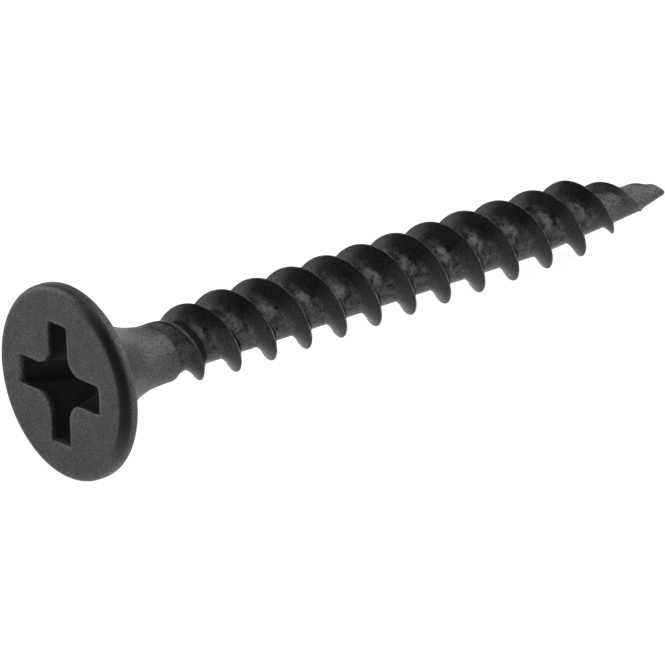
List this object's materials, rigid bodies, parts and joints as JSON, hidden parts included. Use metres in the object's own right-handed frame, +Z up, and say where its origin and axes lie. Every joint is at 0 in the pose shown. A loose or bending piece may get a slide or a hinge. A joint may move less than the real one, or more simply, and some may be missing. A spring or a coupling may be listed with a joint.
{
  "type": "drywall screw",
  "caption": "Black phosphated drywall screw with a bugle head, cross recess, fine twin thread and sharp point.",
  "frame": {"origin": "on the surface that the screw lies on, under the middle of its length", "axes": "+Z up, +X from the head to the tip, as the screw lies at rest on the back of its rim and on its lowest crest; its own axis dips 5.5 degrees below +X"},
  "size_m": [0.0322, 0.0084, 0.0083],
  "materials": {
    "phosphated_steel": "matt black phosphate with a trace of oil"
  },
  "bodies": {
    "root": {"screw": "phosphated_steel"}
  },
  "joints": []
}
